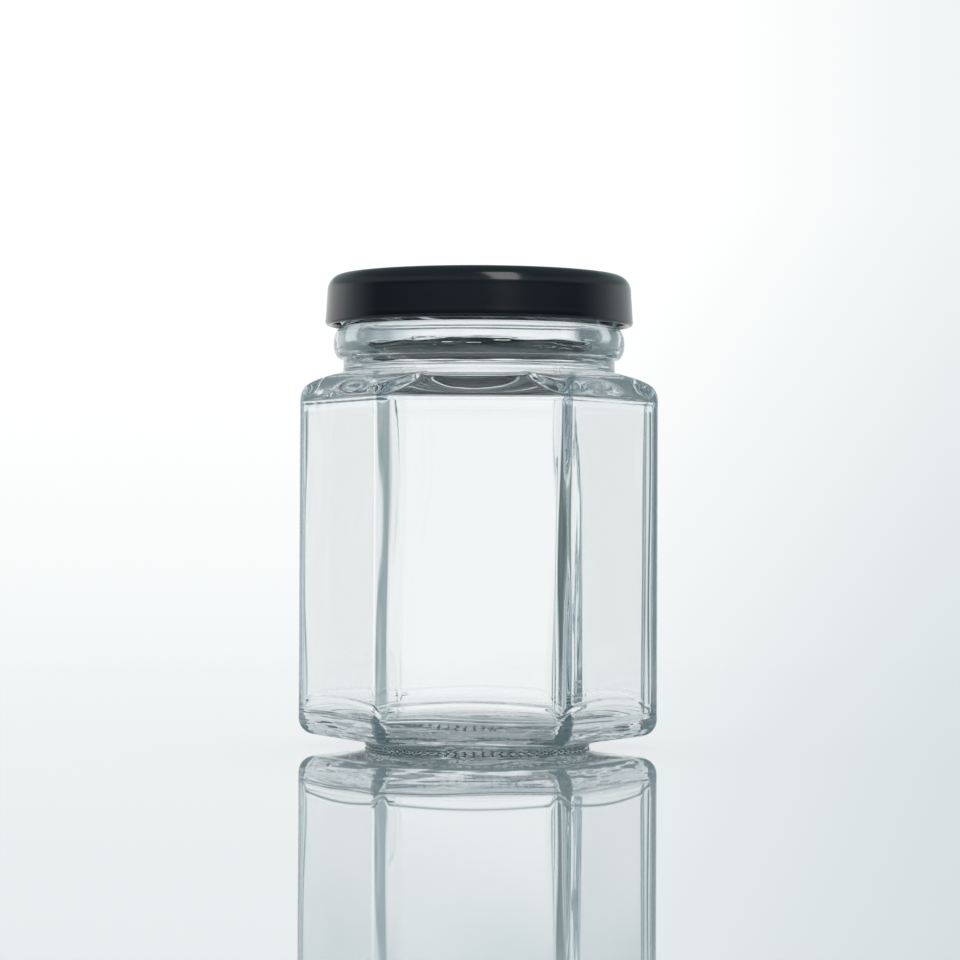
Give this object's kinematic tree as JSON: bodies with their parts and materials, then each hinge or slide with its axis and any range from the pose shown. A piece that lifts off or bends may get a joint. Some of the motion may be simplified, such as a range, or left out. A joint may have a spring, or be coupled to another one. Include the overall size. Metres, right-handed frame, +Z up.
{
  "type": "hexagonal glass honey jar",
  "caption": "Empty clear six-sided glass jar for honey, shut by a black twist-off metal lid, with a beaded round neck, rounded shoulder and round foot ring",
  "frame": {"origin": "on the table under the middle of the jar, level with the flat foot ring", "axes": "+Z up out of the mouth, -Y out of one flat side, two upright corners on the X axis"},
  "size_m": [0.0706, 0.062, 0.0926],
  "materials": {
    "glass": "clear, smooth, very slightly grey-green flint glass",
    "lid_lacquer": "black satin lacquer on thin steel sheet",
    "seal_compound": "soft off-white sealing compound"
  },
  "bodies": {
    "root": {"jar": "glass", "lid": "lid_lacquer", "seal": "seal_compound"}
  },
  "joints": []
}
